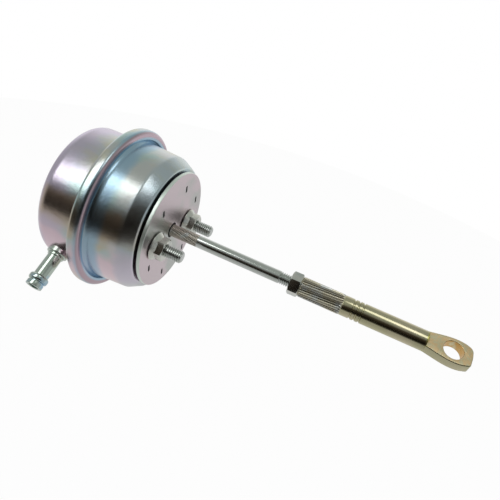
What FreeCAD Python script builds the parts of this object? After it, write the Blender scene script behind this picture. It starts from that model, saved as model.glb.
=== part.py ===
import FreeCAD, Part
import math
import os

# Pressure-driven actuator with a pushrod. Sizes in mm.
# The pushrod lies along +X and comes out of the mounting plate, whose front face is X = 0.
# +Y joins the two mounting studs and +Z is up.

vec = FreeCAD.Vector
x_axis = vec(1, 0, 0)

# Pressed shells and their rolled rim
sheet = 1.2
nose_gap = 1.0
front_depth = 22.7
rear_depth = 22.5
rim_radius = 40.7
rim_bend = 1.3
lip_reach = 4.0
lip_rise = 0.55
rim_inner_gap = 0.7
front_flange = 5.5
front_draft = 1.0
front_fillet = 3.4
shoulder_depth = 6.1
shoulder_bend = 2.6
nose_taper = 3.2
nose_bend = 1.4
neck_radius = 6.0
neck_length = 7.4
rear_flange = 6.5
rear_corner = 6.0
rear_fillet = 2.2
rear_step_radius = 19.0
rear_step_depth = 1.0

# Diaphragm
rubber = 0.8
bead_thickness = 2.2
bead_width = 2.3
roll_gap = 0.3
roll_front = 6.3

# Piston and what holds it on the rod
piston_gap = 6.9
piston_skirt = 17.5
piston_sheet = 1.2
piston_corner = 2.2
backing_radius = 9.4
backing_thickness = 1.5
retainer_step = 5.2
retainer_thickness = 1.2
rivet_radius = 4.6
rivet_height = 1.6
rivet_gap = 0.05

# Rod
rod_radius = 3.0
rod_tail_radius = 2.5
rod_running_gap = 0.05
stroke = 12.0
stroke_spare = 0.3
thread_start = 57.5
thread_end = 95.0
thread_radius = 2.9
thread_gap = 0.08
rod_end_chamfer = 0.8

# Return spring and its seat
spring_radius = 17.5
spring_wire = 2.6
spring_turns = 5.0
seat_sheet = 1.0
seat_rim_height = 3.2
seat_side_gap = 0.9

# Guide, wiper and travel stop
stop_length = 22.2
stop_wall = 1.8
stop_gap = 0.2
wiper_radius = 7.0
wiper_gap = 0.1

# Mounting plate, spacer, studs and nuts
plate_inset = 1.6
plate_thickness = 1.8
plate_edge = 0.5
plate_hole = 3.9
spacer_radius = 11.5
stud_spacing = 32.0
stud_drop = 1.8
stud_radius = 3.0
stud_core_radius = 2.5
stud_shank_radius = 3.3
stud_length = 14.5
stud_gap = 0.05
stud_head_radius = 4.3
stud_head = 0.7
stud_chamfer = 0.8
nut_flats = 10.0
nut_height = 6.0
nut_flange_radius = 7.1
nut_flange = 1.1
nut_undercut = 0.6
nut_foot = 5.8
nut_cone = 1.7
nut_bevel = 0.5
mark_length = 3.8
mark_width = 1.5
mark_depth = 0.45
mark_turn = 15.0
mark_places = ((6.8, 20.0), (21.5, 9.3), (-13.4, 13.9), (-17.9, -13.7), (-2.1, -23.7), (17.5, -17.9))

# Hose barb
barb_angle = -146.0
barb_back = 10.9
barb_radius = 3.5
barb_bore = 2.4
barb_length = 20.1
barb_boss_radius = 5.1
barb_boss_height = 2.2
barb_shoulder_radius = 4.0
barb_shoulder = 1.1
barb_bead_radius = 4.55
barb_bead_width = 3.1
barb_groove = 0.5
barb_groove_radius = 3.45
barb_tip_radius = 3.95
barb_tip = 2.1

# Lock nut and rod end
lock_flats = 10.0
lock_height = 5.2
lock_start = 63.0
lock_bevel = 0.5
sleeve_radius = 4.75
sleeve_chamfer = 0.6
grip_radius = 4.85
grip_length = 20.6
groove_depth = 0.45
groove_width = 0.9
groove_pitch = 2.2
groove_start = 4.9
groove_count = 3
sleeve_length = 60.1
socket_depth = 33.0
eye_turn = 20.0
eye_thickness = 5.0
eye_half_width = 6.4
eye_hole_radius = 4.6
eye_centre = 11.7
eye_end = 8.7
eye_far_corner = 2.8
eye_near_corner = 1.2
eye_tip_length = 3.6
eye_tip_taper = 0.5
eye_tip_slant = 1.2
eye_tip_bulge = 0.4
eye_tip_round = 12.0
eye_edge = 0.5
eye_flare = 7.0
eye_step = 0.8

# Radii that follow from the rim
front_base_radius = rim_radius - front_flange
shoulder_radius = front_base_radius - front_draft
nose_radius = shoulder_radius - nose_taper
plate_radius = nose_radius - plate_inset
rear_radius = rim_radius - rear_flange
piston_radius = shoulder_radius - piston_gap
retainer_radius = piston_radius - retainer_step
barb_boss_top = rear_radius + barb_boss_height
barb_reach = rear_radius + barb_length

# Places along X that follow from the stack
plate_back = -plate_thickness
nose_face = plate_back - nose_gap
nose_inside = nose_face - sheet
rim_front = nose_face - front_depth
flange_face = rim_front - sheet
bead_front = flange_face - sheet
bead_back = bead_front - bead_thickness
rim_back = bead_back - sheet
rear_face = rim_back - rear_depth
seat_face = nose_inside - seat_sheet
stop_end = seat_face - stop_length
backing_front = stop_end - stroke - stroke_spare
piston_front = backing_front - backing_thickness
piston_back = piston_front - piston_sheet
retainer_front = piston_back - rubber
retainer_back = retainer_front - retainer_thickness
rim_inside = rim_radius - sheet - rim_inner_gap
sleeve_start = lock_start + lock_height
eye_start = sleeve_start + sleeve_length


def offset_points(points, distance):
    """Points of the open line moved sideways by distance, with mitred corners."""
    moved = []
    for i, (x, y) in enumerate(points):
        before = points[i - 1] if i > 0 else None
        after = points[i + 1] if i < len(points) - 1 else None
        normals = []
        for a, b in ((before, (x, y)), ((x, y), after)):
            if a is None or b is None:
                continue
            length = math.hypot(b[0] - a[0], b[1] - a[1])
            normals.append((-(b[1] - a[1]) / length, (b[0] - a[0]) / length))
        if len(normals) == 1:
            nx, ny = normals[0]
        else:
            (ax, ay), (bx, by) = normals
            scale = 1.0 + ax * bx + ay * by
            nx, ny = (ax + bx) / scale, (ay + by) / scale
        moved.append((x + nx * distance, y + ny * distance))
    return moved


def rounded_edges(points, radii):
    """Straight runs and tangent arcs along points; radii gives the bend at each inner point."""
    edges = []
    start = vec(points[0][0], points[0][1], 0)
    for i in range(1, len(points) - 1):
        corner = vec(points[i][0], points[i][1], 0)
        back = vec(points[i - 1][0], points[i - 1][1], 0) - corner
        ahead = vec(points[i + 1][0], points[i + 1][1], 0) - corner
        radius = radii[i - 1]
        if radius <= 0:
            edges.append(Part.LineSegment(start, corner).toShape())
            start = corner
            continue
        back.normalize()
        ahead.normalize()
        half = back.getAngle(ahead) / 2
        reach = radius / math.tan(half)
        bisector = back + ahead
        bisector.normalize()
        centre = corner + bisector * (radius / math.sin(half))
        first = corner + back * reach
        last = corner + ahead * reach
        middle = centre - bisector * radius
        if (first - start).Length > 1e-6:
            edges.append(Part.LineSegment(start, first).toShape())
        edges.append(Part.Arc(first, middle, last).toShape())
        start = last
    end = vec(points[-1][0], points[-1][1], 0)
    edges.append(Part.LineSegment(start, end).toShape())
    return edges


def revolved(edges):
    """Solid of revolution about X of the closed outline drawn in X and radius."""
    wire = Part.Wire(Part.__sortEdges__(edges))
    solid = Part.Face(wire).revolve(vec(0, 0, 0), x_axis, 360)
    return Part.Solid(solid) if solid.ShapeType != "Solid" else solid


def turned(points, radii=None):
    """Solid of revolution of the closed outline through points, with optional corner rounds."""
    count = len(points)
    radii = radii or [0] * count
    loop = [((points[0][0] + points[-1][0]) / 2, (points[0][1] + points[-1][1]) / 2)]
    loop += list(points) + loop[:1]
    return revolved(rounded_edges(loop, radii))


def pressed(centre_line, bends, thickness):
    """Round pressing of even thickness whose section follows centre_line, bends at its middle."""
    sides = []
    for side in (1, -1):
        shifted = offset_points(centre_line, side * thickness / 2)
        radii = []
        for i, bend in enumerate(bends):
            ax = centre_line[i + 1][0] - centre_line[i][0]
            ay = centre_line[i + 1][1] - centre_line[i][1]
            bx = centre_line[i + 2][0] - centre_line[i + 1][0]
            by = centre_line[i + 2][1] - centre_line[i + 1][1]
            turn = 1 if ax * by - ay * bx > 0 else -1
            radii.append(bend - side * turn * thickness / 2 if bend > 0 else 0)
        sides.append((shifted, radii))
    edges = []
    for shifted, radii in sides:
        edges += rounded_edges(shifted, radii)
    for end in (0, -1):
        a, b = sides[0][0][end], sides[1][0][end]
        edges.append(Part.LineSegment(vec(a[0], a[1], 0), vec(b[0], b[1], 0)).toShape())
    return revolved(edges)


def ring(inner, outer, low, high):
    """Plain round washer or tube between two places along X."""
    return turned([(low, inner), (high, inner), (high, outer), (low, outer)])


def rod_along(radius, low, high):
    return Part.makeCylinder(radius, high - low, vec(low, 0, 0), x_axis)


def hexagon(flats, low, high, bevel):
    """Hexagonal prism along X with its corners turned off by a 30 degree cone at both ends."""
    corner = flats / math.sqrt(3)
    points = [vec(low, corner * math.sin(math.radians(60 * i)), corner * math.cos(math.radians(60 * i)))
              for i in range(7)]
    prism = Part.Face(Part.makePolygon(points)).extrude(vec(high - low, 0, 0))
    edge = flats / 2 - 0.15
    rise = (corner - edge) * math.tan(math.radians(30)) + bevel * 0.2
    outline = [(low, 0), (high, 0), (high, edge), (high - rise, corner + 0.3), (low + rise, corner + 0.3), (low, edge)]
    return prism.common(turned(outline))


def rear_can():
    half = sheet / 2
    line = [
        (rear_face + half + rear_step_depth, 0),
        (rear_face + half + rear_step_depth, rear_step_radius - 1.0),
        (rear_face + half, rear_step_radius + 1.0),
        (rear_face + half, rear_radius - half),
        (rim_back + half, rear_radius - half),
        (rim_back + half, rim_radius - half),
        (rim_front - half, rim_radius - half),
        (rim_front - half + lip_rise, rim_radius - lip_reach),
    ]
    bends = [1.5, 1.5, rear_corner - half, rear_fillet + half, rim_bend, rim_bend]
    shell = pressed(line, bends, sheet)
    return shell.cut(on_barb(Part.makeCylinder(barb_radius + stud_gap, barb_reach)))


def front_can():
    half = sheet / 2
    shoulder_x = nose_face - shoulder_depth
    line = [
        (flange_face - half, rim_inside),
        (flange_face - half, front_base_radius - half),
        (shoulder_x, shoulder_radius - half),
        (nose_face - half, nose_radius - half),
        (nose_face - half, neck_radius + half),
        (nose_inside - neck_length, neck_radius + half),
    ]
    bends = [front_fillet + half, shoulder_bend - half, nose_bend, sheet]
    return pressed(line, bends, sheet)


def diaphragm():
    middle = (bead_front + bead_back) / 2
    wall = shoulder_radius - sheet - roll_gap - rubber / 2
    inner = piston_radius + rubber / 2 + roll_gap / 2
    roll_x = flange_face + roll_front
    head = piston_back - rubber / 2
    roll = (wall - inner) / 2
    line = [
        (middle, rim_inside - bead_width),
        (middle, wall),
        (roll_x, wall),
        (roll_x, inner),
        (head, inner),
        (head, rod_tail_radius + rivet_gap),
    ]
    bends = [1.4, roll - 0.001, roll - 0.001, piston_corner + rubber / 2 + roll_gap / 2]
    web = pressed(line, bends, rubber)
    bead = ring(rim_inside - bead_width, rim_inside, bead_back, bead_front)
    return web.fuse(bead).removeSplitter()


def piston_cup():
    half = piston_sheet / 2
    line = [
        (piston_back + half, rod_tail_radius + rivet_gap),
        (piston_back + half, piston_radius - half),
        (piston_back + piston_skirt, piston_radius - half),
    ]
    return pressed(line, [piston_corner - half], piston_sheet)


def backing_washer():
    return ring(rod_tail_radius + rivet_gap, backing_radius, piston_front, backing_front)


def retainer_plate():
    half = retainer_thickness / 2
    line = [
        (retainer_front - half, rod_tail_radius + rivet_gap),
        (retainer_front - half, retainer_radius - 1.5),
        (retainer_front - half - 1.2, retainer_radius),
    ]
    return pressed(line, [1.5], retainer_thickness)


def actuator_rod():
    rivet = retainer_back - rivet_height
    outline = [
        (rivet, 0),
        (rivet, rivet_radius - 1.2),
        (rivet + 1.0, rivet_radius),
        (retainer_back, rivet_radius),
        (retainer_back, rod_tail_radius),
        (backing_front, rod_tail_radius),
        (backing_front, rod_radius),
        (thread_start - 0.3, rod_radius),
        (thread_start, thread_radius),
        (thread_end - rod_end_chamfer, thread_radius),
        (thread_end, thread_radius - rod_end_chamfer),
        (thread_end, 0),
    ]
    return turned(outline)


def return_spring():
    low = piston_front
    high = seat_face
    wire_radius = spring_wire / 2
    dead = spring_wire
    body = high - low - 2 * dead
    pitch = body / spring_turns
    helix = Part.makeHelix(pitch, body, spring_radius)
    profile = Part.Wire(Part.makeCircle(wire_radius, vec(spring_radius, 0, 0), vec(0, 1, 0)))
    coil = Part.Wire(helix.Edges).makePipeShell([profile], True, True)
    coil.rotate(vec(0, 0, 0), vec(0, 1, 0), 90)
    coil.translate(vec(low + dead, 0, 0))
    ends = []
    for place in (low + wire_radius, high - wire_radius):
        ends.append(Part.makeTorus(spring_radius, wire_radius, vec(place, 0, 0), x_axis))
    spring = coil.fuse(ends)
    ground = rod_along(spring_radius + spring_wire, low, high)
    return spring.common(ground)


def spring_seat():
    half = seat_sheet / 2
    rim = spring_radius + spring_wire / 2 + seat_side_gap + half
    line = [
        (nose_inside - half, neck_radius + 1.5 * sheet + stop_gap),
        (nose_inside - half, rim),
        (nose_inside - seat_rim_height, rim),
    ]
    return pressed(line, [seat_sheet * 1.2], seat_sheet)


def guide_bush():
    low = nose_inside - neck_length + 0.6
    bush = ring(rod_radius + rod_running_gap, neck_radius, low, nose_face)
    lead = Part.makeCone(rod_radius + rod_running_gap + 0.6, rod_radius + rod_running_gap - 0.2, 0.8, vec(low, 0, 0), x_axis)
    return bush.cut(lead)


def travel_stop():
    inner = neck_radius + sheet + stop_gap
    return turned([(stop_end, inner), (seat_face, inner), (seat_face, inner + stop_wall), (stop_end, inner + stop_wall)],
                  [0.4, 0, 0, 0.4])


def rod_wiper():
    return ring(rod_radius + rod_running_gap, wiper_radius, nose_face + wiper_gap, plate_back - wiper_gap)


def plate_spacer():
    return ring(wiper_radius + wiper_gap, spacer_radius, nose_face, plate_back)


def at_studs(shape):
    """Both copies of a shape modelled on the rod axis, one on each stud."""
    copies = []
    for side in (-1, 1):
        copy = shape.copy()
        copy.translate(vec(0, side * stud_spacing / 2, -stud_drop))
        copies.append(copy)
    return Part.makeCompound(copies)


def mounting_plate():
    disc = turned(
        [(plate_back, plate_hole), (0, plate_hole), (0, plate_radius), (plate_back, plate_radius)],
        [0, 0.3, plate_edge, 0.3],
    )
    disc = disc.cut(at_studs(rod_along(stud_shank_radius + stud_gap, plate_back - 1, 1)))
    end = mark_width / 2
    for y, z in mark_places:
        run = mark_length - mark_width
        mark = Part.makeBox(mark_depth * 2, mark_width, run, vec(-mark_depth, -end, -run / 2))
        for z_end in (-run / 2, run / 2):
            mark = mark.fuse(Part.makeCylinder(end, mark_depth * 2, vec(-mark_depth, 0, z_end), x_axis))
        mark.rotate(vec(0, 0, 0), x_axis, mark_turn)
        mark.translate(vec(0, y, z))
        disc = disc.cut(mark)
    return disc


def mounting_studs():
    """Studs at full thread size where they stand free, and at the thread's core inside the nuts."""
    free = nut_height + stud_gap
    outline = [
        (plate_back - stud_head, 0),
        (plate_back - stud_head, stud_head_radius),
        (plate_back, stud_head_radius),
        (plate_back, stud_shank_radius),
        (0, stud_shank_radius),
        (0, stud_core_radius),
        (free, stud_core_radius),
        (free, stud_radius),
        (stud_length - stud_chamfer, stud_radius),
        (stud_length, stud_radius - stud_chamfer),
        (stud_length, 0),
    ]
    return at_studs(turned(outline))


def flange_nuts():
    """Hexagon nuts with a flange, bored at the thread's core so that they close round the studs."""
    bore = stud_core_radius + stud_gap
    skirt = turned(
        [(0, 0), (nut_flange + nut_cone, 0), (nut_flange + nut_cone, nut_flats / 2 + 0.25), (nut_flange, nut_flange_radius - 0.4),
         (nut_undercut, nut_flange_radius), (0, nut_foot)],
        [0, 0, 0.5, 0.2, 0.15, 0.1],
    )
    nut = skirt.fuse(hexagon(nut_flats, 0, nut_height, nut_bevel))
    nut = nut.cut(rod_along(bore, -1, nut_height + 1))
    nut = nut.cut(Part.makeCone(bore, bore + 0.8, 0.8, vec(nut_height - 0.4, 0, 0), x_axis))
    return at_studs(nut)


def on_barb(shape):
    """Shape modelled along +Z turned and moved on to the barb's own axis on the rear can."""
    placed = shape.copy()
    placed.rotate(vec(0, 0, 0), x_axis, barb_angle - 90)
    placed.translate(vec(rim_back - barb_back, 0, 0))
    return placed


def spun_up(points, radii=None):
    """Turned solid whose outline gives height and radius, standing along +Z."""
    solid = turned(points, radii)
    solid.rotate(vec(0, 0, 0), vec(0, 1, 0), -90)
    return solid


def barb_boss():
    low = rear_radius - sheet * 2
    body = spun_up(
        [(low, barb_radius + stud_gap), (barb_boss_top, barb_radius + stud_gap), (barb_boss_top, barb_boss_radius), (low, barb_boss_radius)],
        [0, 0, 0.5, 0],
    )
    return on_barb(body).cut(rod_along(rear_radius, rear_face, rim_front))


def hose_barb():
    shoulder = barb_boss_top + barb_shoulder
    tip = barb_reach - barb_tip
    bead_top = tip - barb_groove
    bead_low = bead_top - barb_bead_width
    outline = [
        (rear_radius - 1.7, barb_bore),
        (barb_reach, barb_bore),
        (barb_reach, barb_tip_radius - 0.1),
        (tip, barb_tip_radius),
        (tip, barb_groove_radius),
        (bead_top, barb_groove_radius),
        (bead_top, barb_bead_radius),
        (bead_low, barb_bead_radius),
        (bead_low, barb_radius),
        (shoulder, barb_radius),
        (shoulder, barb_shoulder_radius),
        (barb_boss_top, barb_shoulder_radius),
        (barb_boss_top, barb_radius),
        (rear_radius - 1.7, barb_radius),
    ]
    rounds = [0, 0.4, 0.4, 0.3, 0, 0, 0.9, 1.4, 0, 0, 0.4, 0, 0, 0]
    return on_barb(spun_up(outline, rounds))


def lock_nut():
    nut = hexagon(lock_flats, lock_start, sleeve_start, lock_bevel)
    bore = thread_radius + thread_gap
    nut = nut.cut(rod_along(bore, lock_start - 1, sleeve_start + 1))
    for place, way in ((lock_start, 1), (sleeve_start, -1)):
        nut = nut.cut(Part.makeCone(bore + 0.6, bore - 0.2, 0.8, vec(place, 0, 0), x_axis * way))
    nut.rotate(vec(0, 0, 0), x_axis, 12)
    return nut


def sleeve():
    grip_end = sleeve_start + grip_length
    outline = [
        (sleeve_start, 0),
        (sleeve_start, grip_radius - sleeve_chamfer),
        (sleeve_start + sleeve_chamfer, grip_radius),
        (grip_end, grip_radius),
        (grip_end + 0.2, sleeve_radius),
    ]
    for i in range(groove_count):
        middle = grip_end + groove_start + i * groove_pitch
        outline += [
            (middle - groove_width / 2, sleeve_radius),
            (middle - groove_width / 4, sleeve_radius - groove_depth),
            (middle + groove_width / 4, sleeve_radius - groove_depth),
            (middle + groove_width / 2, sleeve_radius),
        ]
    outline += [(eye_start, sleeve_radius), (eye_start + eye_step, eye_thickness / 2), (eye_start + eye_step, 0)]
    return turned(outline)


def eye_blank():
    """Flattened end seen from above: sides that swell from the flat's chord, and a blunt end with round corners."""
    chord = math.sqrt(sleeve_radius ** 2 - (eye_thickness / 2) ** 2)
    back = eye_start - eye_flare
    widest = eye_start + eye_centre
    end = widest + eye_end
    tip_start = end - eye_tip_length
    tip_half = eye_half_width - eye_tip_taper
    low = -eye_thickness / 2
    sides = []
    for side in (1, -1):
        points = [(back, chord - 0.3), (eye_start, chord + 0.3), (widest, eye_half_width), (tip_start, tip_half)]
        curve = Part.BSplineCurve()
        curve.interpolate([vec(x, side * y, low) for x, y in points])
        sides.append(curve.toShape())
    corner = tip_half - eye_tip_slant
    blunt = end - eye_tip_bulge
    outline = [(tip_start, tip_half), (blunt, corner), (end, 0), (blunt, -corner), (tip_start, -tip_half)]
    tip = rounded_edges(outline, [eye_far_corner, eye_tip_round, eye_near_corner])
    for edge in tip:
        edge.translate(vec(0, 0, low))
    base = Part.LineSegment(vec(back, -chord + 0.3, low), vec(back, chord - 0.3, low)).toShape()
    wire = Part.Wire(Part.__sortEdges__(sides + [base] + tip))
    return Part.Face(wire).extrude(vec(0, 0, eye_thickness))


def rod_end():
    blank = eye_blank()
    rims = [e for e in blank.Edges
            if abs(abs(e.BoundBox.ZMin) - eye_thickness / 2) < 1e-4 and e.BoundBox.ZLength < 1e-4
            and e.BoundBox.XMax > eye_start]
    blank = blank.makeFillet(eye_edge, rims)
    part = sleeve().fuse(blank)
    hole = Part.makeCylinder(eye_hole_radius, eye_thickness * 2, vec(eye_start + eye_centre, 0, -eye_thickness))
    part = part.cut(hole)
    part = part.cut(rod_along(thread_radius + thread_gap, sleeve_start - 1, sleeve_start + socket_depth))
    part = part.cut(Part.makeCone(thread_radius + thread_gap, 0, 1.8, vec(sleeve_start + socket_depth, 0, 0), x_axis))
    part.rotate(vec(0, 0, 0), x_axis, eye_turn)
    return part


os.makedirs("parts", exist_ok=True)
for make in (
    rear_can, front_can, diaphragm, piston_cup, backing_washer, retainer_plate, actuator_rod, return_spring,
    spring_seat, guide_bush, travel_stop, rod_wiper, plate_spacer, mounting_plate, mounting_studs, flange_nuts,
    barb_boss, hose_barb, lock_nut, rod_end,
):
    shape = make()
    shape.exportStep("parts/" + make.__name__ + ".step")
    box = shape.BoundBox
    print(make.__name__, len(shape.Solids), shape.isValid(), round(shape.Volume, 1),
          [round(v, 2) for v in (box.XMin, box.XMax, box.YMin, box.YMax, box.ZMin, box.ZMax)])
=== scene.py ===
import bpy
import bmesh
import math
from mathutils import Matrix, Vector


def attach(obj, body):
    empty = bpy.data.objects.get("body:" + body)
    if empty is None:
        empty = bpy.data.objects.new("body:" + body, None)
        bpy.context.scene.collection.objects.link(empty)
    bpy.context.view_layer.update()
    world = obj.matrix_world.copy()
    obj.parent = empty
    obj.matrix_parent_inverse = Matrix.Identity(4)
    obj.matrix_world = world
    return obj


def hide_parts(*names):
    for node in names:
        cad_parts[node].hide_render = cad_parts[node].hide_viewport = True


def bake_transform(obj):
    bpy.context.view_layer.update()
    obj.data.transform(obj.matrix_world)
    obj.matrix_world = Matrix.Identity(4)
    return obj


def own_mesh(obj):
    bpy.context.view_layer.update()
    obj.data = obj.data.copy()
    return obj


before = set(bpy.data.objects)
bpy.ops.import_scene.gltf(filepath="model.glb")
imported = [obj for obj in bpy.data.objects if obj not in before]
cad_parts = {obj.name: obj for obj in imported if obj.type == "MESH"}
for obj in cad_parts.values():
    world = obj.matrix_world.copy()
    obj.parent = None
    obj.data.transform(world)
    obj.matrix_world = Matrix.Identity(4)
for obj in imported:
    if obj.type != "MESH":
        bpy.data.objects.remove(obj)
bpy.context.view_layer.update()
mm = 0.001
mergeReach = 2e-6  # metres; vertices nearer than this are one


def nothingSelected():
    if bpy.context.object and bpy.context.object.mode != "OBJECT":
        bpy.ops.object.mode_set(mode="OBJECT")
    bpy.ops.object.select_all(action="DESELECT")


def onlySelected(obj):
    nothingSelected()
    bpy.context.view_layer.objects.active = obj
    obj.select_set(True)


def wholeMesh(obj):
    onlySelected(obj)
    bpy.ops.object.mode_set(mode="EDIT")
    bpy.ops.mesh.select_all(action="SELECT")


def startPoint(name, place):
    # one vertex at a place, ready to be extruded into a line
    nothingSelected()
    bpy.ops.mesh.primitive_plane_add(size=mm)
    obj = bpy.context.object
    obj.name = name
    bpy.ops.object.mode_set(mode="EDIT")
    bpy.ops.mesh.select_mode(type="VERT")
    bpy.ops.mesh.select_all(action="SELECT")
    bpy.ops.mesh.merge(type="CENTER")
    bpy.ops.transform.translate(value=place)
    return obj


def drawLine(name, points, closed=False):
    # a line in the XY plane, x along the rod and y the radius, in mm; a third number rounds that corner
    first = Vector((points[0][0], points[0][1], 0)) * mm
    obj = startPoint(name, first)
    last = first
    for point in points[1:]:
        here = Vector((point[0], point[1], 0)) * mm
        bpy.ops.mesh.extrude_vertices_move(TRANSFORM_OT_translate={"value": here - last})
        last = here
    if closed:
        chooseVertices(lambda v: (v - first).length < mergeReach or (v - last).length < mergeReach)
        bpy.ops.mesh.edge_face_add()
    for i, point in enumerate(points):
        if len(point) > 2 and point[2] > 0:
            roundCorner(points, i, closed)
    return obj


def roundCorner(points, i, closed):
    corner = Vector(points[i][:2])
    before = (Vector(points[i - 1][:2]) - corner).normalized()
    after = (Vector(points[(i + 1) % len(points)][:2]) - corner).normalized()
    turn = math.pi - before.angle(after)
    reach = points[i][2] * math.tan(turn / 2)
    place = corner.to_3d() * mm
    chooseVertices(lambda v: (v - place).length < mergeReach)
    segments = max(3, round(turn / math.radians(11)))
    bpy.ops.mesh.bevel(offset_type="OFFSET", offset=reach * mm, segments=segments, affect="VERTICES")


def chooseVertices(test):
    bpy.ops.mesh.select_mode(type="VERT")
    bpy.ops.mesh.select_all(action="DESELECT")
    mesh = bmesh.from_edit_mesh(bpy.context.object.data)
    for vertex in mesh.verts:
        vertex.select = test(vertex.co)
    mesh.select_flush(True)
    bmesh.update_edit_mesh(bpy.context.object.data)


def chooseEdges(test):
    bpy.ops.mesh.select_mode(type="EDGE")
    bpy.ops.mesh.select_all(action="DESELECT")
    mesh = bmesh.from_edit_mesh(bpy.context.object.data)
    for edge in mesh.edges:
        edge.select = test(edge)
    bmesh.update_edit_mesh(bpy.context.object.data)


def chooseFaces(test):
    bpy.ops.mesh.select_mode(type="FACE")
    bpy.ops.mesh.select_all(action="DESELECT")
    mesh = bmesh.from_edit_mesh(bpy.context.object.data)
    for face in mesh.faces:
        face.select = test(face)
    bmesh.update_edit_mesh(bpy.context.object.data)


def paint(obj, slot, test):
    chooseFaces(test)
    obj.active_material_index = slot
    bpy.ops.object.material_slot_assign()


def spinLine(obj, steps):
    bpy.ops.mesh.select_all(action="SELECT")
    bpy.ops.mesh.spin(steps=steps, angle=2 * math.pi, center=(0, 0, 0), axis=(1, 0, 0))
    bpy.ops.mesh.select_all(action="SELECT")
    bpy.ops.mesh.remove_doubles(threshold=mergeReach)
    bpy.ops.mesh.normals_make_consistent(inside=False)
    return obj


def latheOf(name, points, steps, closed=False):
    return spinLine(drawLine(name, points, closed), steps)


def finishMesh(obj, angle=32):
    onlySelected(obj)
    bpy.ops.object.shade_smooth_by_angle(angle=math.radians(angle))
    return obj


def applyAll(obj):
    onlySelected(obj)
    for modifier in list(obj.modifiers):
        bpy.ops.object.modifier_apply(modifier=modifier.name)
    return obj


def joined(first, *others):
    nothingSelected()
    for obj in (first,) + others:
        obj.select_set(True)
    bpy.context.view_layer.objects.active = first
    bpy.ops.object.join()
    return first


def copyOf(obj, name):
    twin = obj.copy()
    twin.data = obj.data.copy()
    twin.name = name
    bpy.context.collection.objects.link(twin)
    return twin


def combine(obj, operation, tools):
    # cuts, keeps or adds what the tools share with the piece, and uses them up
    for tool in tools:
        step = obj.modifiers.new("combine", "BOOLEAN")
        step.operation = operation
        step.solver = "EXACT"
        step.object = tool
    applyAll(obj)
    for tool in tools:
        bpy.data.objects.remove(tool)
    return obj


class Wire:
    # one socket, so that shader maths reads as maths
    def __init__(self, finish, socket):
        self.finish = finish
        self.socket = socket

    def maths(self, operation, first, second):
        return self.finish.node("ShaderNodeMath", {"operation": operation}, {0: first, 1: second})

    def __add__(self, other):
        return self.maths("ADD", self, other)

    def __sub__(self, other):
        return self.maths("SUBTRACT", self, other)

    def __rsub__(self, other):
        return self.maths("SUBTRACT", other, self)

    def __mul__(self, other):
        return self.maths("MULTIPLY", self, other)

    def __truediv__(self, other):
        return self.maths("DIVIDE", self, other)

    __radd__ = __add__
    __rmul__ = __mul__


class Finish:
    # a material or world whose nodes are added by one method
    def __init__(self, owner):
        owner.use_nodes = True
        self.owner = owner
        self.tree = owner.node_tree
        self.shader = self.tree.nodes.get("Principled BSDF")

    def node(self, kind, settings=None, values=None, out=0):
        made = self.tree.nodes.new(kind)
        for key, value in (settings or {}).items():
            if key == "stops":
                ramp = made.color_ramp.elements
                while len(ramp) < len(value):
                    ramp.new(0.5)
                for stop, (place, colour) in zip(ramp, value):
                    stop.position = place
                    stop.color = (*colour, 1)
            else:
                setattr(made, key, value)
        for key, value in (values or {}).items():
            self.feed(made.inputs[key], value)
        return Wire(self, made.outputs[out])

    def feed(self, socket, value):
        if isinstance(value, Wire):
            self.tree.links.new(value.socket, socket)
        elif isinstance(value, (tuple, list)) and len(value) == 3 and socket.type == "RGBA":
            socket.default_value = (*value, 1)
        else:
            socket.default_value = value

    def set(self, **values):
        for key, value in values.items():
            self.feed(self.shader.inputs[key.replace("_", " ")], value)

    def places(self):
        return self.node("ShaderNodeTexCoord", out=3)

    def parts(self, vector):
        return [self.node("ShaderNodeSeparateXYZ", None, {0: vector}, out=i) for i in range(3)]

    def stretched(self, vector, scale, turn=(0, 0, 0)):
        return self.node("ShaderNodeMapping", None, {"Vector": vector, "Scale": scale, "Rotation": turn})

    def noise(self, vector, scale, detail=2, roughness=0.5):
        return self.node("ShaderNodeTexNoise", None,
                         {"Vector": vector, "Scale": scale, "Detail": detail, "Roughness": roughness})

    def ramp(self, value, stops):
        return self.node("ShaderNodeValToRGB", {"stops": stops}, {0: value})

    def between(self, value, low, high, toLow=0.0, toHigh=1.0):
        return self.node("ShaderNodeMapRange", {"interpolation_type": "SMOOTHSTEP"},
                         {0: value, 1: low, 2: high, 3: toLow, 4: toHigh})

    def mix(self, factor, first, second):
        return self.node("ShaderNodeMix", {"data_type": "RGBA"}, {0: factor, 6: first, 7: second}, out=2)

    def bump(self, height, strength, distance):
        return self.node("ShaderNodeBump", None,
                         {"Height": height, "Strength": strength, "Distance": distance})


def newFinish(name, roughness=0.3, metallic=1.0):
    finish = Finish(bpy.data.materials.new(name))
    finish.set(Metallic=metallic, Roughness=roughness)
    return finish


def wear(obj, *finishes):
    obj.data.materials.clear()
    for finish in finishes:
        obj.data.materials.append(finish.owner)
    return obj


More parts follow.
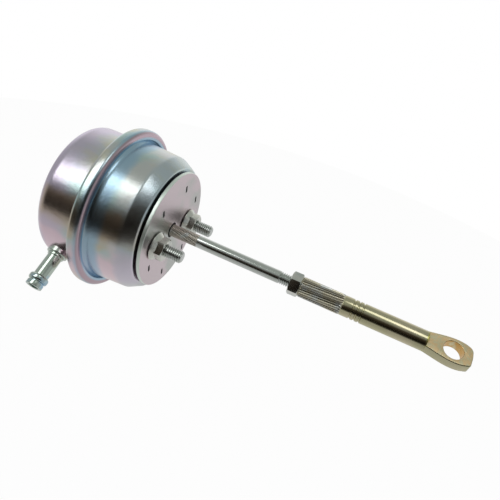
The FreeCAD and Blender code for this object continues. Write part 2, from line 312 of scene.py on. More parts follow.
# finishes
# some tints are painted light: bronze, rose and blue on the shells are painted reflections, wine is painted
# shade on the rim lip, side is a painted highlight on the plate's rim, and groove is painted shade in the
# knurl
tints = {
    "silver": (0.64, 0.66, 0.65), "floorReflectionRose": (0.86, 0.66, 0.74), "lavender": (0.66, 0.57, 0.72),
    "blue": (0.38, 0.56, 0.72), "sea": (0.50, 0.65, 0.64), "bronze": (0.66, 0.52, 0.38),
    "shadeWine": (0.52, 0.34, 0.38), "straw": (0.66, 0.64, 0.50), "plateRose": (0.72, 0.62, 0.66),
    "plateGrey": (0.56, 0.58, 0.56), "side": (0.82, 0.90, 0.84), "nut": (0.70, 0.70, 0.65),
    "stud": (0.58, 0.61, 0.58), "rod": (0.60, 0.63, 0.60), "rodRoot": (0.56, 0.52, 0.46),
    "barb": (0.56, 0.64, 0.57), "gold": (0.63, 0.57, 0.40), "olive": (0.55, 0.52, 0.34),
    "tan": (0.88, 0.66, 0.38), "sand": (0.78, 0.70, 0.46), "grip": (0.66, 0.61, 0.48),
    "groove": (0.26, 0.23, 0.18), "amber": (0.72, 0.44, 0.16), "moss": (0.50, 0.48, 0.14),
    "shade": (0.05, 0.08, 0.08), "shadeEdge": (0.10, 0.13, 0.12), "steel": (0.42, 0.42, 0.43),
    "steelDark": (0.36, 0.36, 0.37), "rubber": (0.03, 0.03, 0.032),
}


def satin(finish, colour, roughness, peel):
    # fine orange peel over a slightly uneven sheen
    places = finish.places()
    fine = finish.noise(places, 3600, 2)
    coarse = finish.noise(places, 700, 4, 0.6)
    broad = finish.noise(places, 190, 2)
    finish.set(Base_Color=colour, Roughness=roughness + (coarse - 0.5) * 0.12,
               Normal=finish.bump(fine * 0.3 + coarse * 0.4 + broad, peel, 0.0001))
    return finish


def zincFinish(name, main, patch, low, high, roughness, peel=0.10, patchScale=45):
    # zinc plate with a second tint in soft patches, where the noise passes from low to high
    finish = newFinish(name, roughness)
    cloud = finish.noise(finish.stretched(finish.places(), (1, 1, 1), (0, 0, 0.4)), patchScale, 3)
    colour = finish.mix(finish.between(cloud, low, high), tints[main], tints[patch])
    return satin(finish, colour, roughness, peel)


# tints of the shells: each comes in between two values, with its weight at either one; the values are
# metres along the rod or up, squared metres where a distance is squared, and noise for sea and streaks
bands = {"sea": (0.40, 0.60), "streaks": (0.50, 0.66, 0, 0.7), "lavender": (-0.031, -0.044, 0, 0.85),
         "rearFace": (-0.0528, -0.0495, 0.15, 1), "darkReflectionHeight": 0.007,
         "bronze": (0.00010, 0.00001, 0, 0.75), "floorReflectionRose": (0.001, -0.010, 0, 0.85),
         "floorReflectionLow": (-0.020, -0.030, 0, 0.6),
         "rimBack": 0.0228, "rimFilletReflection": (0.000035, 0.000002, 0, 0.85),
         "noseBack": 0.006, "noseReflection": (0.000040, 0.000001, 0, 0.35),
         "rimLipShade": (-0.0264, -0.0256), "rimEdge": (0.00140, 0.00147), "rimShade": 0.8}


def shellFinish():
    # sea and straw patches and lavender to the rear tint the zinc; over them are painted reflections (blue at
    # the rim fillet and the nose shoulder, a brown band where the dark surroundings are mirrored, pink then
    # straw low on the sides where the floor is mirrored) and painted shade in dark red on the rim lip
    finish = newFinish("canZinc")
    places = finish.places()
    x, y, z = finish.parts(places)
    cloud = finish.noise(places, 38, 3)
    streak = finish.noise(finish.stretched(places, (0.4, 1, 1)), 110, 4)
    drift = (cloud - 0.5) * 0.024 + (streak - 0.5) * 0.012
    toDarkReflection = z + drift - bands["darkReflectionHeight"]
    sides = finish.between(x + (cloud - 0.5) * 0.01, *bands["rearFace"])
    toRim = x + drift * 0.2 + bands["rimBack"]
    toNose = x + drift * 0.3 + bands["noseBack"]
    # mask for the painted shade on the face of the rim lip by its end
    rimLipShade = finish.between(x, *bands["rimLipShade"]) * finish.between(y * y + z * z, *bands["rimEdge"])
    colour = finish.mix(finish.between(cloud, *bands["sea"]), tints["silver"], tints["sea"])
    for share, tint in (
        (finish.between(streak, *bands["streaks"]), "straw"),
        (finish.between(x + drift, *bands["lavender"]), "lavender"),
        # brown band at the height where the dark surroundings are mirrored: a painted reflection
        (sides * finish.between(toDarkReflection * toDarkReflection, *bands["bronze"]), "bronze"),
        # pink, then straw, low on the sides where the floor is mirrored: painted reflection
        (sides * finish.between(z + drift, *bands["floorReflectionRose"]), "floorReflectionRose"),
        (sides * finish.between(z + drift, *bands["floorReflectionLow"]), "straw"),
        # blue at the fillet in front of the rim and between the shoulder and the nose: painted reflection
        (finish.between(toRim * toRim, *bands["rimFilletReflection"]), "blue"),
        (finish.between(toNose * toNose, *bands["noseReflection"]), "blue"),
        # dark red on the rim lip: painted shade
        (rimLipShade * bands["rimShade"], "shadeWine"),
    ):
        colour = finish.mix(share, colour, tints[tint])
    return satin(finish, colour, 0.24, 0.55)


canFinish = shellFinish()
plateFinish = zincFinish("plateZinc", "plateRose", "plateGrey", 0.45, 0.65, 0.34)
# a brighter, rougher copy of the plate zinc for the plate's rim: a painted highlight
plateSideSheen = zincFinish("plateSideSheenZinc", "side", "side", 0.45, 0.65, 0.42, 0.3, 200)
nutFinish = zincFinish("nutZinc", "nut", "stud", 0.45, 0.65, 0.20, 0.4, 300)
studFinish = zincFinish("studZinc", "stud", "silver", 0.45, 0.6, 0.22, 0.15, 200)
barbFinish = zincFinish("barbZinc", "barb", "blue", 0.50, 0.7, 0.13, 0.02, 120)
rodFinish = zincFinish("rodZinc", "rod", "silver", 0.45, 0.6, 0.16, 0.01, 90)
rootFinish = zincFinish("rodRootZinc", "rodRoot", "silver", 0.55, 0.7, 0.36, 0.1, 200)
markFinish = zincFinish("markShade", "shade", "shadeEdge", 0.45, 0.6, 0.5, 0.1, 300)
lockFinish = zincFinish("lockNutZinc", "nut", "rod", 0.4, 0.6, 0.18, 0.05, 200)
bossFinish = zincFinish("bossZinc", "barb", "silver", 0.4, 0.6, 0.22, 0.05, 200)
eyeFinish = zincFinish("eyeChromate", "tan", "sand", 0.42, 0.62, 0.46, 0.35, 520)
sleeveFinish = zincFinish("yellowChromate", "gold", "olive", 0.40, 0.66, 0.17, 0.01, 70)
gripFinish = zincFinish("gripChromate", "grip", "silver", 0.45, 0.65, 0.28, 0.03, 200)
# dark tint for the sunk faces of the knurl: painted shade in the grooves
grooveShadeFinish = zincFinish("grooveShadeChromate", "groove", "grip", 0.55, 0.75, 0.4, 0.03, 200)
holeFinish = zincFinish("holeChromate", "amber", "sand", 0.5, 0.8, 0.26, 0.1, 300)
stepFinish = zincFinish("stepChromate", "moss", "gold", 0.5, 0.8, 0.3, 0.1, 300)
innerFinish = zincFinish("pressedSteel", "steel", "steelDark", 0.4, 0.6, 0.4)
rubberFinish = newFinish("rubber", 0.7, 0.0)
rubberFinish.set(Base_Color=tints["rubber"],
                 Normal=rubberFinish.bump(rubberFinish.noise(rubberFinish.places(), 1800, 3), 0.3, 0.0002))


# pressed shells
shell = {"sheet": 1.2, "sheetEdge": 0.3, "rearFace": -53.8, "rearRadius": 34.2, "rearCorner": 6.0,
         "stepRadius": 19.0, "stepDepth": 1.0, "stepSlope": 1, "stepCorner": 1.5, "rearFillet": 2.2,
         "rimBack": -31.3, "rimFront": -25.5, "rimRadius": 40.7, "rimBend": 1.9, "lipEnd": 36.7,
         "lipRise": 0.55, "flangeFront": -26.7, "flangeOuter": 39.2, "baseRadius": 35.2,
         "frontFillet": 3.4, "shoulderX": -8.9, "shoulderRadius": 34.2, "shoulderBend": 2.6,
         "noseX": -2.8, "noseRadius": 31.0, "noseBend": 1.5, "neckRadius": 7.2, "neckEnd": -11.4,
         "neckBend": 0.6}


def pressedShell(name, line, side):
    # sheet along its outer line; side is the sign that lays the wall inside that line
    can = latheOf(name, line, 160)
    nothingSelected()
    wall = can.modifiers.new("wall", "SOLIDIFY")
    wall.thickness = shell["sheet"] * mm
    wall.offset = side
    edge = can.modifiers.new("edge", "BEVEL")
    edge.width = shell["sheetEdge"] * mm
    edge.segments = 3
    edge.limit_method = "ANGLE"
    edge.angle_limit = math.radians(50)
    applyAll(can)
    wear(can, canFinish)
    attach(can, "housing")
    return finishMesh(can)


def makeRearCan():
    s = shell
    recess = s["rearFace"] + s["stepDepth"]
    can = pressedShell("rearCan", [
        (recess, 0),
        (recess, s["stepRadius"] - s["stepSlope"], s["stepCorner"]),
        (s["rearFace"], s["stepRadius"] + s["stepSlope"], s["stepCorner"]),
        (s["rearFace"], s["rearRadius"], s["rearCorner"]),
        (s["rimBack"], s["rearRadius"], s["rearFillet"]),
        (s["rimBack"], s["rimRadius"], s["rimBend"]),
        (s["rimFront"], s["rimRadius"], s["rimBend"]),
        (s["rimFront"] + s["lipRise"], s["lipEnd"]),
    ], -1)
    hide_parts("rear_can")


def makeFrontCan():
    s = shell
    can = pressedShell("frontCan", [
        (s["flangeFront"], s["flangeOuter"]),
        (s["flangeFront"], s["baseRadius"], s["frontFillet"]),
        (s["shoulderX"], s["shoulderRadius"], s["shoulderBend"]),
        (s["noseX"], s["noseRadius"], s["noseBend"]),
        (s["noseX"], s["neckRadius"], s["neckBend"]),
        (s["neckEnd"], s["neckRadius"]),
    ], 1)
    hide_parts("front_can")


print("shells")
makeRearCan()
makeFrontCan()


# threads and nuts
def turnSelected(degrees, axis):
    bpy.ops.transform.rotate(value=-math.radians(degrees), orient_axis=axis, center_override=(0, 0, 0))


def movedCopy(obj, name, offset):
    twin = copyOf(obj, name)
    wholeMesh(twin)
    bpy.ops.transform.translate(value=Vector(offset) * mm)
    nothingSelected()
    return twin


def softEdges(obj, width, segments=2, angle=30):
    nothingSelected()
    soft = obj.modifiers.new("soft", "BEVEL")
    soft.width = width * mm
    soft.segments = segments
    soft.limit_method = "ANGLE"
    soft.angle_limit = math.radians(angle)
    return applyAll(obj)


def threadOf(name, low, high, radius, pitch, chamfer):
    # a bar with fine rings whose vertices are drawn in along a helix, turned to a chamfer at its end
    depth = 0.6 * pitch
    steps = 24
    count = round((high - low) / pitch * steps)
    line = [(low, 0)] + [(low + i * pitch / steps, radius) for i in range(count + 1)]
    line.append((low + count * pitch / steps, 0))
    bar = latheOf(name, line, steps, closed=True)

    def phase(v):
        return (v.x / mm / pitch - math.atan2(v.z, v.y) / (2 * math.pi)) % 1

    for start, end, now in ((0.30, 0.92, radius), (0.42, 0.80, radius - depth / 2)):
        shrink = (now - depth / 2) / now
        chooseVertices(lambda v: start < phase(v) < end and math.hypot(v.y, v.z) > 0.3 * mm)
        bpy.ops.transform.resize(value=(1, shrink, shrink), center_override=(0, 0, 0))
    blank = latheOf("blank", [(low + 0.01, 0), (low + 0.01, radius + 1), (high - chamfer - 1, radius + 1),
                              (high, radius - chamfer), (high, 0)], 48, closed=True)
    nothingSelected()
    return combine(bar, "INTERSECT", [blank])


def hexagon(name, flats, low, high, turn, lowBevel):
    # hexagonal bar along the rod with its corners turned off at thirty degrees
    nothingSelected()
    corner = flats / math.sqrt(3)
    bpy.ops.mesh.primitive_cylinder_add(vertices=6, radius=corner * mm, depth=(high - low) * mm)
    bar = bpy.context.object
    bar.name = name
    wholeMesh(bar)
    turnSelected(90, "Y")
    turnSelected(turn, "X")
    bpy.ops.transform.translate(value=((low + high) / 2 * mm, 0, 0))
    edge = flats / 2 - 0.1
    outside = corner + 0.3
    rise = (outside - edge) * math.tan(math.radians(30))
    line = [(low, 0), (low, outside), (high - rise, outside), (high, edge), (high, 0)]
    if lowBevel:
        line[1:2] = [(low, edge), (low + rise, outside)]
    blank = latheOf("blank", line, 96, closed=True)
    nothingSelected()
    return combine(bar, "INTERSECT", [blank])


def boreOut(obj, radius, low, high, lead, leadLow=True):
    # a plain bore through the piece with a lead chamfer at its mouths
    line = [(low - 1, 0), (low - 1, radius)]
    if leadLow:
        line[1:2] = [(low - 1, radius + lead + 1), (low + lead, radius)]
    line += [(high - lead, radius), (high + 1, radius + lead + 1), (high + 1, 0)]
    drill = latheOf("drill", line, 48, closed=True)
    nothingSelected()
    return combine(obj, "DIFFERENCE", [drill])


stud = {"spacing": 32.0, "drop": 1.8, "radius": 3.0, "core": 2.5, "shank": 3.3, "pitch": 1.0, "length": 14.5,
        "chamfer": 0.8, "head": 0.7, "headRadius": 4.3, "nutFlats": 10.0, "nutHeight": 6.0, "nutFlange": 1.1,
        "nutFlangeRadius": 7.1, "nutUndercut": 0.6, "nutFoot": 5.8, "nutCone": 1.7, "nutLead": 0.4,
        "nutSoft": 0.14, "nutTurns": (2, -1)}


def studPlaces():
    side = stud["spacing"] / 2
    return (0, -side, -stud["drop"]), (0, side, -stud["drop"])


def makeStuds():
    s = stud
    back = -plate["thickness"]
    coreEnd = s["nutHeight"] - 0.5  # inside the nut, just past the thread's start
    thread = threadOf("thread", s["nutHeight"] - 0.6, s["length"], s["radius"], s["pitch"], s["chamfer"])
    head = [(back - s["head"], 0), (back - s["head"], s["headRadius"], 0.2), (back, s["headRadius"])]
    shank = [(back, s["shank"]), (0, s["shank"]), (0, s["core"]), (coreEnd, s["core"]), (coreEnd, 0)]
    stem = joined(thread, latheOf("stem", head + shank, 48, closed=True))
    names = ("mountingStuds", "farStud")
    near, far = [movedCopy(stem, name, place) for name, place in zip(names, studPlaces())]
    bpy.data.objects.remove(stem)
    studs = joined(near, far)
    wear(studs, studFinish)
    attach(studs, "housing")
    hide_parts("mounting_studs")
    finishMesh(studs, 28)


def makeNut(turn):
    s = stud
    nut = hexagon("nut", s["nutFlats"], 0.2, s["nutHeight"], turn, False)
    top = s["nutFlange"] + s["nutCone"]
    skirt = latheOf("skirt", [
        (0, 0), (0, s["nutFoot"]), (s["nutUndercut"], s["nutFlangeRadius"], 0.15),
        (s["nutFlange"], s["nutFlangeRadius"] - 0.4, 0.2),
        (top, s["nutFlats"] / 2 + 0.25, 0.3), (top, 0),
    ], 72, closed=True)
    nothingSelected()
    combine(nut, "UNION", [skirt])
    boreOut(nut, s["core"] + 0.05, 0, s["nutHeight"], s["nutLead"], leadLow=False)
    return softEdges(nut, s["nutSoft"], 2, 35)


def makeNuts():
    pieces = []
    for turn, name, place in zip(stud["nutTurns"], ("flangeNuts", "farNut"), studPlaces()):
        nut = makeNut(turn)
        pieces.append(movedCopy(nut, name, place))
        bpy.data.objects.remove(nut)
    nuts = joined(*pieces)
    wear(nuts, nutFinish)
    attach(nuts, "housing")
    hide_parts("flange_nuts")
    finishMesh(nuts, 25)


# mounting plate
plate = {"thickness": 1.8, "radius": 29.4, "edge": 0.35, "backEdge": 0.3, "hole": 3.9, "holeEdge": 0.3,
         "sheenBand": 0.15, "markLength": 3.9, "markWidth": 1.5, "markDepth": 0.45, "markRound": 0.46,
         "markTurn": 15,
         "marks": ((6.8, 20.0), (21.5, 9.3), (-13.4, 13.9), (-17.9, -13.7), (-2.1, -23.7), (17.5, -17.9))}


def runsAlongRod(edge):
    way = edge.verts[0].co - edge.verts[1].co
    return abs(way.x) > 1e-6 and abs(way.y) < 1e-7 and abs(way.z) < 1e-7


def makePlate():
    p = plate
    back = -p["thickness"]
    disc = latheOf("mountingPlate", [
        (back, p["hole"]), (0, p["hole"], p["holeEdge"]), (0, p["radius"], p["edge"]),
        (back, p["radius"], p["backEdge"]),
    ], 192, closed=True)
    nothingSelected()
    cutters = []
    for y, z in p["marks"]:
        bpy.ops.mesh.primitive_cube_add(size=mm)
        mark = bpy.context.object
        wholeMesh(mark)
        bpy.ops.transform.resize(value=(2 * p["markDepth"], p["markWidth"], p["markLength"]))
        chooseEdges(runsAlongRod)
        bpy.ops.mesh.bevel(offset=p["markWidth"] * p["markRound"] * mm, segments=6)
        bpy.ops.mesh.select_all(action="SELECT")
        turnSelected(p["markTurn"], "X")
        bpy.ops.transform.translate(value=(0, y * mm, z * mm))
        nothingSelected()
        cutters.append(mark)
    for place in studPlaces():
        bpy.ops.mesh.primitive_cylinder_add(vertices=48, radius=(stud["shank"] + 0.05) * mm, depth=10 * mm)
        drill = bpy.context.object
        wholeMesh(drill)
        turnSelected(90, "Y")
        bpy.ops.transform.translate(value=Vector(place) * mm)
        nothingSelected()
        cutters.append(drill)
    combine(disc, "DIFFERENCE", cutters)
    wear(disc, plateFinish, markFinish, plateSideSheen)
    wholeMesh(disc)
    depth = p["markDepth"] * mm
    paint(disc, 1, lambda f: abs(f.calc_center_median().x + depth) < 0.02 * mm and abs(f.normal.x) > 0.9)
    # the plate's rim takes the brighter copy: painted highlight
    edge = (p["radius"] - p["sheenBand"]) * mm
    paint(disc, 2, lambda f: math.hypot(*f.calc_center_median().yz) > edge)
    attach(disc, "housing")
    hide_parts("mounting_plate")
    finishMesh(disc)


print("plate, studs and nuts")
makePlate()
makeStuds()
makeNuts()


def splined(name, head, low, high, radius, tail, columns, depth, twist):
    # a turned length with fine splines, set aslant by a twist
    rows = 24
    line = head + [(low + i * (high - low) / rows, radius) for i in range(rows + 1)] + tail
    bar = latheOf(name, line, 4 * columns, closed=True)
    inside = (radius - 0.01) * mm
    step = math.pi / 2 / columns
    chooseVertices(lambda v: math.hypot(v.y, v.z) > inside and round(math.atan2(v.z, v.y) / step) % 4 < 2)
    shrink = 1 - depth / radius
    bpy.ops.transform.resize(value=(1, shrink, shrink), center_override=(0, 0, 0))
    nothingSelected()
    turn = bar.modifiers.new("twist", "SIMPLE_DEFORM")
    turn.deform_method = "TWIST"
    turn.deform_axis = "X"
    turn.angle = math.radians(twist)
    return applyAll(bar)


# pushrod
rod = {"radius": 3.0, "tail": 2.5, "rivetBack": -45.8, "rivetRadius": 4.6, "rivetDome": 1.2,
       "retainerBack": -44.2, "washerFront": -39.5, "rootStart": 0.3, "rootEnd": 14.5, "rootDepth": 0.18,
       "rootTeeth": 20, "rootTwist": 60, "threadStart": 57.6, "threadCut": 72.0, "threadRadius": 2.9,
       "threadEnd": 95.0, "pitch": 1.0, "chamfer": 0.8}


def makeRod():
    r = rod
    low = r["radius"] - r["rootDepth"]
    bar = latheOf("pushrod", [
        (r["rivetBack"], 0), (r["rivetBack"], r["rivetRadius"] - r["rivetDome"]),
        (r["rivetBack"] + 1, r["rivetRadius"]), (r["retainerBack"], r["rivetRadius"]),
        (r["retainerBack"], r["tail"]), (r["washerFront"], r["tail"]),
        (r["washerFront"], r["radius"]), (r["rootStart"], r["radius"]),
        (r["rootStart"] + 0.1, low), (r["rootEnd"] - 0.1, low), (r["rootEnd"], r["radius"]),
        (r["threadStart"] - 0.1, r["radius"]), (r["threadStart"] + 0.5, 2.4), (r["threadStart"] + 0.5, 0),
    ], 96, closed=True)
    nothingSelected()
    root = splined("root", [(r["rootStart"], 0)], r["rootStart"], r["rootEnd"], r["radius"],
                   [(r["rootEnd"], 0)], r["rootTeeth"], r["rootDepth"], r["rootTwist"])
    thread = threadOf("rodThread", r["threadStart"], r["threadCut"], r["threadRadius"], r["pitch"], 0.1)
    end = latheOf("rodEnd", [
        (r["threadCut"] - 0.2, 0), (r["threadCut"] - 0.2, 2.5), (r["threadCut"], r["threadRadius"]),
        (r["threadEnd"] - r["chamfer"], r["threadRadius"]),
        (r["threadEnd"], r["threadRadius"] - r["chamfer"]), (r["threadEnd"], 0),
    ], 48, closed=True)
    nothingSelected()
    bar = joined(bar, root, thread, end)
    wear(bar, rodFinish, rootFinish)
    wholeMesh(bar)
    paint(bar, 1, lambda f: r["rootStart"] - 0.05 < f.calc_center_median().x / mm < r["rootEnd"] + 0.05)
    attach(bar, "plunger")
    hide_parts("actuator_rod")
    finishMesh(bar, 20)


print("pushrod")
makeRod()


# lock nut and rod end
link = {"nutFlats": 10.0, "nutStart": 63.0, "nutEnd": 68.2, "nutTurn": 12, "nutLead": 0.5, "nutSoft": 0.15,
        "bore": 2.98, "gripRadius": 4.85, "gripEnd": 88.8, "gripChamfer": 0.5, "knurlDepth": 0.28,
        "knurlColumns": 28, "knurlTwist": -14, "radius": 4.75, "grooves": (93.7, 95.9, 98.1),
        "grooveDepth": 0.45, "grooveWidth": 0.9, "socketEnd": 101.2, "socketCone": 1.8,
        "eyeStart": 128.3, "eyeStep": 0.8, "stepBand": 0.6, "eyeFlare": 7.0, "eyeThickness": 5.0,
        "eyeHalf": 6.4, "sideSteps": 28, "holeX": 140.0, "holeRadius": 4.6, "holeLead": 0.25,
        "eyeEnd": 148.7, "tipLength": 3.6, "tipTaper": 0.5, "tipSlant": 1.2, "tipBulge": 0.4,
        "tipRound": 12, "farCorner": 2.8, "nearCorner": 1.2, "eyeEdge": 0.5, "eyeTurn": 20}


def makeLockNut():
    k = link
    nut = hexagon("lockNut", k["nutFlats"], k["nutStart"], k["nutEnd"], k["nutTurn"], True)
    boreOut(nut, k["bore"], k["nutStart"], k["nutEnd"], k["nutLead"])
    softEdges(nut, k["nutSoft"], 2, 25)
    wear(nut, lockFinish)
    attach(nut, "lock_nut")
    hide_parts("lock_nut")
    finishMesh(nut, 25)


def makeGrip():
    k = link
    chamfer = k["gripChamfer"]
    grip = splined("rodEndPiece", [(k["nutEnd"], k["bore"]), (k["nutEnd"], k["gripRadius"] - chamfer)],
                   k["nutEnd"] + chamfer, k["gripEnd"] - chamfer, k["gripRadius"],
                   [(k["gripEnd"], k["radius"] - 0.25), (k["gripEnd"], k["bore"])],
                   k["knurlColumns"], k["knurlDepth"], k["knurlTwist"])
    wear(grip, sleeveFinish, eyeFinish, gripFinish, grooveShadeFinish, holeFinish, stepFinish)
    wholeMesh(grip)
    paint(grip, 2, lambda f: True)
    # the sunk faces of the knurl take the dark tint: painted shade
    outer = (k["gripRadius"] - k["knurlDepth"] * 0.7) * mm
    inner = (k["radius"] - 0.5) * mm

    def inShadedGroove(f):
        return inner < math.hypot(*f.calc_center_median().yz) < outer and abs(f.normal.x) < 0.1

    paint(grip, 3, inShadedGroove)
    nothingSelected()
    return grip


def makeSleeve():
    k = link
    line = [(k["gripEnd"] - 0.3, k["bore"]), (k["gripEnd"] - 0.3, k["radius"] - 0.3),
            (k["gripEnd"] + 0.1, k["radius"], 0.2)]
    bottom = k["radius"] - k["grooveDepth"]
    mouth = k["grooveWidth"] / 2
    bed = k["grooveWidth"] / 4
    for middle in k["grooves"]:
        line += [(middle - mouth, k["radius"]), (middle - bed, bottom), (middle + bed, bottom),
                 (middle + mouth, k["radius"])]
    flat = k["eyeStart"] + k["eyeStep"]
    line += [(k["eyeStart"] - k["stepBand"], k["radius"]), (k["eyeStart"], k["radius"]),
             (flat, k["eyeThickness"] / 2), (flat, 0),
             (k["socketEnd"] + k["socketCone"], 0), (k["socketEnd"], k["bore"])]
    sleeve = latheOf("sleeve", line, 128, closed=True)
    nothingSelected()
    return sleeve


def alongSide(x):
    # half width of the flattened end: a smooth curve through four points
    k = link
    chord = math.sqrt(k["radius"] ** 2 - (k["eyeThickness"] / 2) ** 2)
    knots = [(k["eyeStart"] - k["eyeFlare"], chord - 0.3), (k["eyeStart"], chord + 0.3),
             (k["holeX"], k["eyeHalf"]), (k["eyeEnd"] - k["tipLength"], k["eyeHalf"] - k["tipTaper"])]
    total = 0
    for i, (xi, yi) in enumerate(knots):
        term = yi
        for j, (xj, yj) in enumerate(knots):
            if i != j:
                term *= (x - xj) / (xi - xj)
        total += term
    return total


def makeEye():
    k = link
    start = k["eyeStart"] - k["eyeFlare"]
    tip = k["eyeEnd"] - k["tipLength"]
    count = k["sideSteps"]
    stations = [start + (tip - start) * i / count for i in range(count + 1)]
    sides = [(x, alongSide(x)) for x in stations]
    corner = k["eyeHalf"] - k["tipTaper"] - k["tipSlant"]
    blunt = k["eyeEnd"] - k["tipBulge"]
    outline = sides + [(blunt, corner, k["farCorner"]), (k["eyeEnd"], 0, k["tipRound"]),
                       (blunt, -corner, k["nearCorner"])]
    outline += [(x, -y) for x, y in reversed(sides)]
    eye = drawLine("eye", outline, closed=True)
    bpy.ops.mesh.select_all(action="SELECT")
    bpy.ops.mesh.edge_face_add()
    half = k["eyeThickness"] / 2 * mm
    bpy.ops.transform.translate(value=(0, 0, -half))
    bpy.ops.mesh.extrude_region_move(TRANSFORM_OT_translate={"value": (0, 0, 2 * half)})
    bpy.ops.mesh.select_all(action="SELECT")
    bpy.ops.mesh.normals_make_consistent(inside=False)
    nothingSelected()
    softEdges(eye, k["eyeEdge"], 4, 50)
    return eye


def makeRodEnd():
    k = link
    eye = combine(makeSleeve(), "UNION", [makeEye()])
    nothingSelected()
    bpy.ops.mesh.primitive_cylinder_add(vertices=96, radius=k["holeRadius"] * mm, depth=20 * mm,
                                        location=(k["holeX"] * mm, 0, 0))
    drill = bpy.context.object
    nothingSelected()
    combine(eye, "DIFFERENCE", [drill])
    wholeMesh(eye)
    place = Vector((k["holeX"], 0, 0)) * mm
    half = k["eyeThickness"] / 2 * mm

    def atMouth(edge):
        ends = [v.co - place for v in edge.verts]
        return all(abs(math.hypot(p.x, p.y) - k["holeRadius"] * mm) < mergeReach
                   and abs(abs(p.z) - half) < mergeReach for p in ends)

    chooseEdges(atMouth)
    bpy.ops.mesh.bevel(offset=k["holeLead"] * mm, segments=3)
    nothingSelected()
    wear(eye, sleeveFinish)
    piece = joined(makeGrip(), eye)
    wholeMesh(piece)
    turnSelected(k["eyeTurn"], "X")
    turn = math.radians(k["eyeTurn"])
    upright = Vector((0, -math.sin(turn), math.cos(turn)))
    flat = (k["eyeStart"] + k["eyeStep"] - 0.05) * mm
    hole = (k["holeRadius"] + 0.05) * mm
    band = (k["eyeStart"] - k["stepBand"] - 0.02) * mm

    def inHole(f):
        middle = f.calc_center_median()
        reach = math.hypot(*(middle - place).yx)
        return middle.x > flat and abs(f.normal.dot(upright)) < 0.9 and reach < hole

    paint(piece, 1, lambda f: f.calc_center_median().x > flat and abs(f.normal.dot(upright)) > 0.95)
    paint(piece, 4, inHole)
    paint(piece, 5, lambda f: band < f.calc_center_median().x < flat and abs(f.normal.dot(upright)) > 0.3)
    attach(piece, "rod_end")
    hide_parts("rod_end")
    finishMesh(piece, 30)


print("lock nut and rod end")
makeLockNut()
makeRodEnd()


# hose barb
barb = {"angle": -146, "x": -42.2, "radius": 3.5, "bore": 2.4, "bossRadius": 5.1, "bossTop": 36.4,
        "bossRound": 0.7, "shellRadius": 34.2, "shoulderRadius": 4.0, "shoulder": 1.1, "reach": 54.3,
        "beadRadius": 4.55, "beadWidth": 3.1, "beadRound": 1.1, "groove": 0.5, "grooveRadius": 3.45,
        "tipRadius": 3.95, "tip": 2.1, "root": 32.5}


def onBarb(obj):
    # from the rod's direction to the barb's own, then back along the rod to its place
    wholeMesh(obj)
    turnSelected(-90, "Y")
    turnSelected(barb["angle"] - 90, "X")
    bpy.ops.transform.translate(value=(barb["x"] * mm, 0, 0))
    nothingSelected()
    return obj


def makeBarb():
    b = barb
    shoulder = b["bossTop"] + b["shoulder"]
    tip = b["reach"] - b["tip"]
    beadTop = tip - b["groove"]
    beadLow = beadTop - b["beadWidth"]
    tube = latheOf("hoseBarb", [
        (b["root"], b["bore"]), (b["reach"], b["bore"], 0.3), (b["reach"], b["tipRadius"], 0.25),
        (tip, b["tipRadius"], 0.2), (tip, b["grooveRadius"]), (beadTop, b["grooveRadius"]),
        (beadTop, b["beadRadius"], b["beadRound"]), (beadLow, b["beadRadius"], b["beadRound"]),
        (beadLow, b["radius"]), (shoulder, b["radius"], 0.15), (shoulder, b["shoulderRadius"], 0.3),
        (b["bossTop"], b["shoulderRadius"]), (b["bossTop"], b["radius"]), (b["root"], b["radius"]),
    ], 72, closed=True)
    wear(onBarb(tube), barbFinish)
    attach(tube, "housing")
    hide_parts("hose_barb")
    finishMesh(tube, 40)
    inside = b["radius"] + 0.05
    boss = latheOf("barbBoss", [
        (b["root"] - 2, inside), (b["bossTop"], inside), (b["bossTop"], b["bossRadius"], b["bossRound"]),
        (b["root"] - 2, b["bossRadius"]),
    ], 72, closed=True)
    onBarb(boss)
    bpy.ops.mesh.primitive_cylinder_add(vertices=256, radius=b["shellRadius"] * mm, depth=40 * mm,
                                        location=(b["x"] * mm, 0, 0), rotation=(0, math.radians(90), 0))
    core = bpy.context.object
    nothingSelected()
    combine(boss, "DIFFERENCE", [core])
    wear(boss, bossFinish)
    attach(boss, "housing")
    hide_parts("barb_boss")
    finishMesh(boss, 35)


print("hose barb")
makeBarb()

# inside: the solids themselves, with their finishes
steelNodes = ("piston_cup", "backing_washer", "retainer_plate", "return_spring", "spring_seat", "guide_bush",
              "travel_stop", "plate_spacer")
for node in steelNodes:
    wear(bpy.data.objects[node], innerFinish)
for node in ("diaphragm", "rod_wiper"):
    wear(bpy.data.objects[node], rubberFinish)

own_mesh(bpy.data.objects["return_spring"])


def makeDiaphragm():
    # a copy of the CAD mesh of the rubber between the crimp and the piston, merged and shaded smooth
    node = bpy.data.objects["diaphragm"]
    place = node.matrix_world.copy()
    rubber = copyOf(node, "diaphragmRubber")
    rubber.parent = None
    rubber.matrix_world = place
    wholeMesh(rubber)
    bpy.ops.mesh.remove_doubles(threshold=mergeReach)
    nothingSelected()
    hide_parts("diaphragm")
    finishMesh(rubber)
    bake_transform(rubber)


makeDiaphragm()


# camera, fitted to the outlines in the photograph
view = {"focalPixels": 520, "framePixels": 500, "place": (0.0861, -0.2065, 0.1263),
        "right": (0.9007, 0.3496, 0.2580), "up": (-0.3910, 0.3933, 0.8321), "back": (0.1894, -0.8503, 0.4910)}


def makeCamera():
    lens = bpy.data.cameras.new("camera")
    lens.sensor_width = 36
    lens.lens = view["focalPixels"] / view["framePixels"] * lens.sensor_width
    lens.clip_start = 0.01
    camera = bpy.data.objects.new("camera", lens)
    bpy.context.collection.objects.link(camera)
    turn = Matrix((view["right"], view["up"], view["back"])).transposed()
    camera.matrix_world = Matrix.Translation(view["place"]) @ turn.to_quaternion().to_matrix().to_4x4()
    bpy.context.scene.camera = camera


makeCamera()

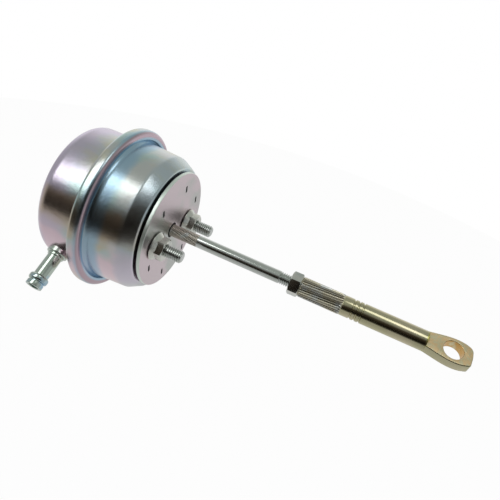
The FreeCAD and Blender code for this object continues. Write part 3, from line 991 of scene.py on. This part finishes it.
# floor, softboxes and surroundings
studio = {"floorX": 0.04, "floorZ": -0.12, "floorRadius": 0.55, "dimFrom": -0.24, "dimTo": -0.42,
          "paper": (0.80, 0.79, 0.79), "dimPaper": (0.03, 0.025, 0.02), "seenWhite": 0.97,
          "mirroredGlow": (-0.16, 0.06, 0.05, 0.45), "aim": (0.03, 0, 0),
          "boxes": (("leftBox", (-0.29, -0.32, 0.443), (0.26, 0.46), 0.74),
                    ("topBox", (0.19, -0.10, 0.59), (0.20, 0.26), 0.24)),
          "around": ((0.0, (0.012, 0.010, 0.008)), (0.10, (0.03, 0.025, 0.02)), (0.30, (0.70, 0.70, 0.70)),
                     (0.50, (0.95, 0.95, 0.95)), (0.57, (0.66, 0.67, 0.64)), (0.63, (0.40, 0.42, 0.40)),
                     (0.83, (0.38, 0.41, 0.38)), (0.87, (0.30, 0.31, 0.31)), (0.915, (0.05, 0.04, 0.03)),
                     (1.0, (0.006, 0.005, 0.004))),
          "ends": (0.45, 0.46, 0.46)}


def makeFloor():
    nothingSelected()
    bpy.ops.mesh.primitive_circle_add(vertices=96, radius=studio["floorRadius"], fill_type="NGON",
                                      location=(studio["floorX"], 0, studio["floorZ"]))
    floor = bpy.context.object
    floor.name = "floor"
    bpy.ops.object.transform_apply(location=True, rotation=True, scale=True)
    paper = newFinish("paper", 0.8, 0.0)
    x, y, z = paper.parts(paper.places())
    seen = paper.node("ShaderNodeLightPath")
    mirrored = paper.node("ShaderNodeLightPath", out=3)
    dim = paper.between(y, studio["dimFrom"], studio["dimTo"]) * mirrored
    white = seen * studio["seenWhite"] + mirrored * paper.between(y, *studio["mirroredGlow"])
    paper.set(Base_Color=paper.mix(dim, studio["paper"], studio["dimPaper"]))
    glow = paper.node("ShaderNodeEmission", None, {"Color": (1, 1, 1), "Strength": 1.0})
    matt = Wire(paper, paper.shader.outputs[0])
    both = paper.node("ShaderNodeMixShader", None, {0: white, 1: matt, 2: glow})
    paper.tree.links.new(both.socket, paper.tree.nodes["Material Output"].inputs["Surface"])
    wear(floor, paper)


def makeSoftbox(name, place, size, power):
    lamp = bpy.data.lights.new(name, "AREA")
    lamp.shape = "RECTANGLE"
    lamp.size, lamp.size_y = size
    lamp.energy = power
    box = bpy.data.objects.new(name, lamp)
    box.location = place
    box.rotation_euler = (Vector(studio["aim"]) - box.location).to_track_quat("-Z", "Y").to_euler()
    bpy.context.collection.objects.link(box)


def makeRoom():
    # brightness by the angle around the rod: pale behind, grey overhead, dark towards the camera
    sky = Finish(bpy.data.worlds.new("room"))
    bpy.context.scene.world = sky.owner
    x, y, z = sky.parts(sky.node("ShaderNodeTexCoord"))
    angle = sky.node("ShaderNodeMath", {"operation": "ARCTAN2"}, {0: z, 1: y})
    room = sky.ramp(angle / (2 * math.pi) + 0.5 + x * 0.09, studio["around"])
    room = sky.mix(sky.between(x * x, 0.5, 0.9), room, studio["ends"])
    seen = sky.node("ShaderNodeLightPath")
    background = sky.tree.nodes["Background"]
    sky.feed(background.inputs["Color"], sky.mix(seen, room, (1, 1, 1)))
    background.inputs["Strength"].default_value = 1.0


print("studio")
makeFloor()
for box in studio["boxes"]:
    makeSoftbox(*box)
makeRoom()
bpy.context.scene.view_settings.view_transform = "Standard"
